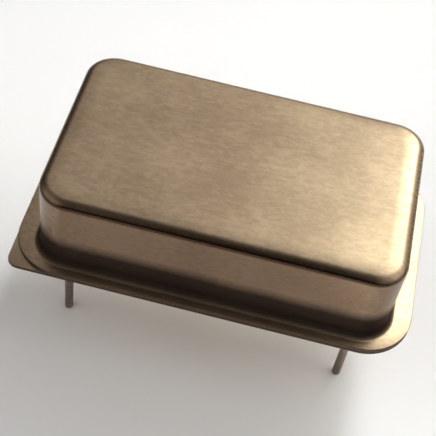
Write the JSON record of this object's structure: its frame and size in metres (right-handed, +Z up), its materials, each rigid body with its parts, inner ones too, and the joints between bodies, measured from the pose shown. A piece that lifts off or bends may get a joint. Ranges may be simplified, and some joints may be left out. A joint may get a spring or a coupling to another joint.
{
  "type": "crystal oscillator",
  "caption": "Crystal clock oscillator in a flanged metal case for through-hole boards, with the quartz plate and circuit inside and round leads below the corners.",
  "frame": {"origin": "centre of the four-lead pattern on the seating plane, which is the underside of the base", "axes": "+X along the long side, +Z up through the top of the case, lead 1 at -X -Y and lead 7 at +X -Y"},
  "size_m": [0.0206, 0.0122, 0.0108],
  "materials": {
    "cover_nickel": "brushed satin nickel plate",
    "base_nickel": "satin nickel plate",
    "lead_metal": "drawn wire, nickel plated, dulled",
    "seal_glass": "dark fused sealing glass",
    "braze": "fused bright metal",
    "alumina": "matt fired",
    "glue": "cured epoxy",
    "fired_track": "fired metal film",
    "solder": "bright solder",
    "silver_epoxy": "silver-filled cement",
    "silicon": "polished",
    "gold_wire": "drawn",
    "capacitor_body": "fired, with tinned ends",
    "resistor_body": "glazed, with tinned ends",
    "quartz": "lapped and clear",
    "silver_film": "evaporated silver",
    "spring_strip": "rolled strip"
  },
  "bodies": {
    "root": {"cover": "cover_nickel", "base_plate": "base_nickel", "glass_seal_1": "seal_glass", "glass_seal_8": "seal_glass", "glass_seal_14": "seal_glass", "ground_braze": "braze", "lead_1": "lead_metal", "lead_7": "lead_metal", "lead_8": "lead_metal", "lead_14": "lead_metal", "substrate_adhesive": "glue", "substrate": "alumina", "circuit_traces": "fired_track", "solder_joint_1": "solder", "solder_joint_7": "solder", "solder_joint_8": "solder", "solder_joint_14": "solder", "die_attach": "silver_epoxy", "oscillator_chip": "silicon", "bond_wires": "gold_wire", "bypass_capacitor": "capacitor_body", "input_capacitor": "capacitor_body", "output_capacitor": "capacitor_body", "feedback_resistor": "resistor_body", "quartz_blank": "quartz", "upper_electrode": "silver_film", "lower_electrode": "silver_film", "left_clip": "spring_strip", "right_clip": "spring_strip", "left_adhesive": "silver_epoxy", "right_adhesive": "silver_epoxy"}
  },
  "joints": []
}
